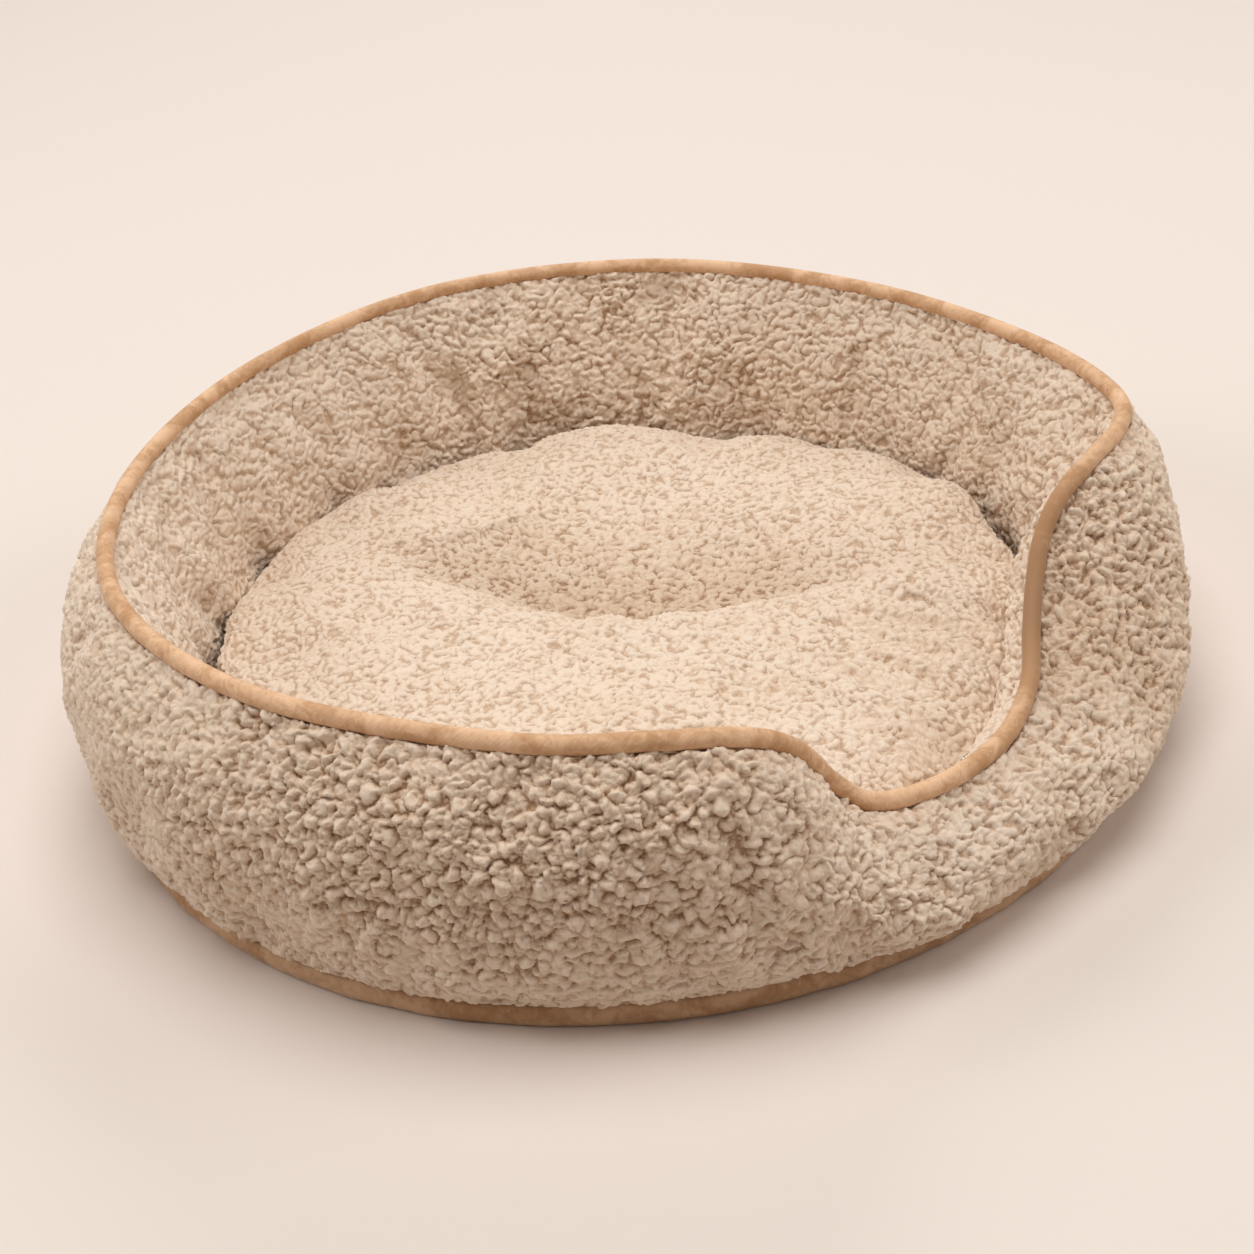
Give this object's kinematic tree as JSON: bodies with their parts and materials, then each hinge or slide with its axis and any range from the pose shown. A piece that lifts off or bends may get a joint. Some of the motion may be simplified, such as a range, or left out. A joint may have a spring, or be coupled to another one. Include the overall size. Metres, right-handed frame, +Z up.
{
  "type": "pet cushion bed",
  "caption": "Round pet bed: padded fleece bolster wall with a low entrance, suede piping and base band, and a loose domed cushion.",
  "frame": {"origin": "centre of the round base, on the floor", "axes": "+Z up, -Y out through the low entrance, +X to the right of someone facing the entrance"},
  "size_m": [0.6291, 0.6291, 0.1566],
  "materials": {
    "sherpa_outer": "curly fleece pile, matt",
    "sherpa_inner": "curly fleece pile, matt",
    "sherpa_cushion": "curly fleece pile, matt",
    "suede_piping": "short-nap suede cloth",
    "suede_band": "short-nap suede cloth",
    "suede_side": "short-nap suede cloth",
    "fibre": "loose polyester fibre",
    "cord_fibre": "soft twisted filler cord",
    "pad_foam": "bonded wadding",
    "base_cloth": "woven cloth with grip dots",
    "lining_cloth": "plain woven lining",
    "cushion_cloth": "plain woven cloth",
    "zip_tape": "herringbone tape",
    "zip_nylon": "moulded nylon coil",
    "zip_metal": "antique brass plating"
  },
  "bodies": {
    "bed_shell": {"outer_wall_cover": "sherpa_outer", "inner_wall_cover": "sherpa_inner", "wall_filling": "fibre", "rim_piping_sleeve": "suede_piping", "rim_piping_cord": "cord_fibre", "base_band": "suede_band", "base_fabric": "base_cloth", "base_pad": "pad_foam", "floor_lining": "lining_cloth"},
    "cushion": {"cushion_top_cover": "sherpa_cushion", "cushion_filling": "fibre", "cushion_bottom_cover": "cushion_cloth", "cushion_side_band": "suede_side", "zip_tape_upper": "zip_tape", "zip_tape_lower": "zip_tape", "zip_coil_upper": "zip_nylon", "zip_coil_lower": "zip_nylon", "zip_stop_closed_end": "zip_metal", "zip_stop_open_upper": "zip_metal", "zip_stop_open_lower": "zip_metal"},
    "zip_slider": {"zip_slider": "zip_metal"},
    "zip_pull": {"zip_pull": "zip_metal"}
  },
  "joints": [
    {"name": "cushion_lift", "type": "slide", "parent": "bed_shell", "child": "cushion", "axis": [0, 0, 1], "range_m": [0, 0.18]},
    {"name": "zip_travel", "type": "hinge", "parent": "cushion", "child": "zip_slider", "pos_m": [0, 0, 0.028], "axis": [0, 0, -1], "range_deg": [0, 98]},
    {"name": "zip_pull_flip", "type": "hinge", "parent": "zip_slider", "child": "zip_pull", "pos_m": [-0.17132, 0.14632, 0.028], "axis": [0, 0, 1], "range_deg": [0, 45]}
  ]
}
